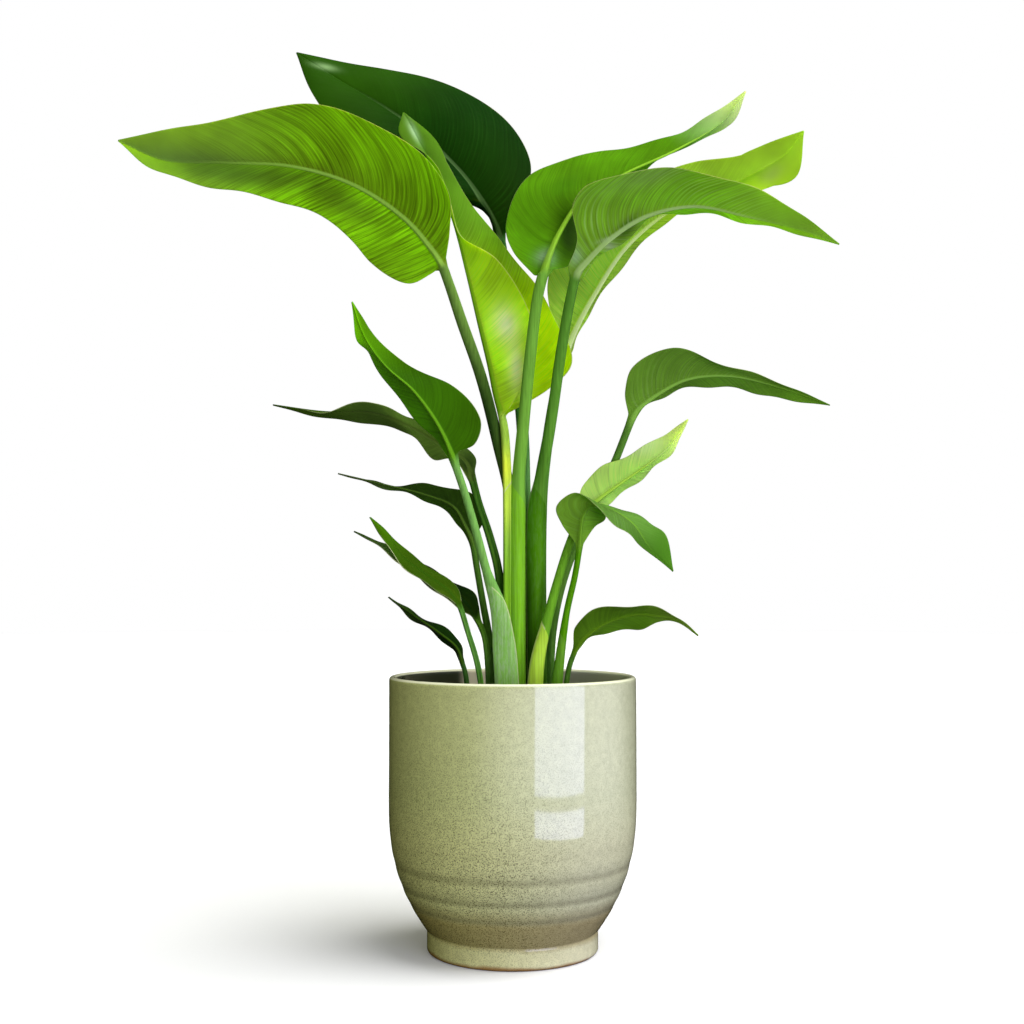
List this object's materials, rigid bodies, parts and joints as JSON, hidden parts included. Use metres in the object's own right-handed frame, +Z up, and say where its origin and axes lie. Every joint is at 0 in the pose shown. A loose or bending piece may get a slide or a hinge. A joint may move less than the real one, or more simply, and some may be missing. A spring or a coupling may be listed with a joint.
{
  "type": "potted giant white bird of paradise",
  "caption": "Giant white bird of paradise house plant: tall paddle leaves on long petioles, rising from a round glazed pot with a low foot.",
  "frame": {"origin": "centre of the flat underside of the pot's foot", "axes": "+Z up the plant, -Y towards the front, +X to the right seen from the front"},
  "size_m": [0.7008, 0.2656, 0.9368],
  "materials": {
    "pot_glaze": "glossy sage green glaze with fine dark specks",
    "grow_pot_plastic": "matt taupe plastic",
    "potting_soil": "dull, crumbly",
    "leaf_upper_left": "satin, waxy leaf",
    "leaf_top_back": "satin, waxy leaf",
    "leaf_upper_right": "satin, waxy leaf",
    "leaf_front_right": "satin, waxy leaf",
    "leaf_young_folded": "satin, waxy leaf",
    "leaf_back_right": "satin, waxy leaf",
    "leaf_mid_left": "satin, waxy leaf",
    "leaf_mid_left_back": "satin, waxy leaf",
    "leaf_left_dark": "satin, waxy leaf",
    "leaf_lower_left_front": "satin, waxy leaf",
    "leaf_lower_left_back": "satin, waxy leaf",
    "leaf_lowest_left": "satin, waxy leaf",
    "leaf_mid_right": "satin, waxy leaf",
    "leaf_small_right": "satin, waxy leaf",
    "leaf_twisted_right": "satin, waxy leaf",
    "leaf_lowest_right": "satin, waxy leaf"
  },
  "bodies": {
    "root": {"pot": "pot_glaze", "grow_pot": "grow_pot_plastic", "soil": "potting_soil", "leaf_upper_left": "leaf_upper_left", "leaf_top_back": "leaf_top_back", "leaf_upper_right": "leaf_upper_right", "leaf_front_right": "leaf_front_right", "leaf_young_folded": "leaf_young_folded", "leaf_back_right": "leaf_back_right", "leaf_mid_left": "leaf_mid_left", "leaf_mid_left_back": "leaf_mid_left_back", "leaf_left_dark": "leaf_left_dark", "leaf_lower_left_front": "leaf_lower_left_front", "leaf_lower_left_back": "leaf_lower_left_back", "leaf_lowest_left": "leaf_lowest_left", "leaf_mid_right": "leaf_mid_right", "leaf_small_right": "leaf_small_right", "leaf_twisted_right": "leaf_twisted_right", "leaf_lowest_right": "leaf_lowest_right"}
  },
  "joints": []
}
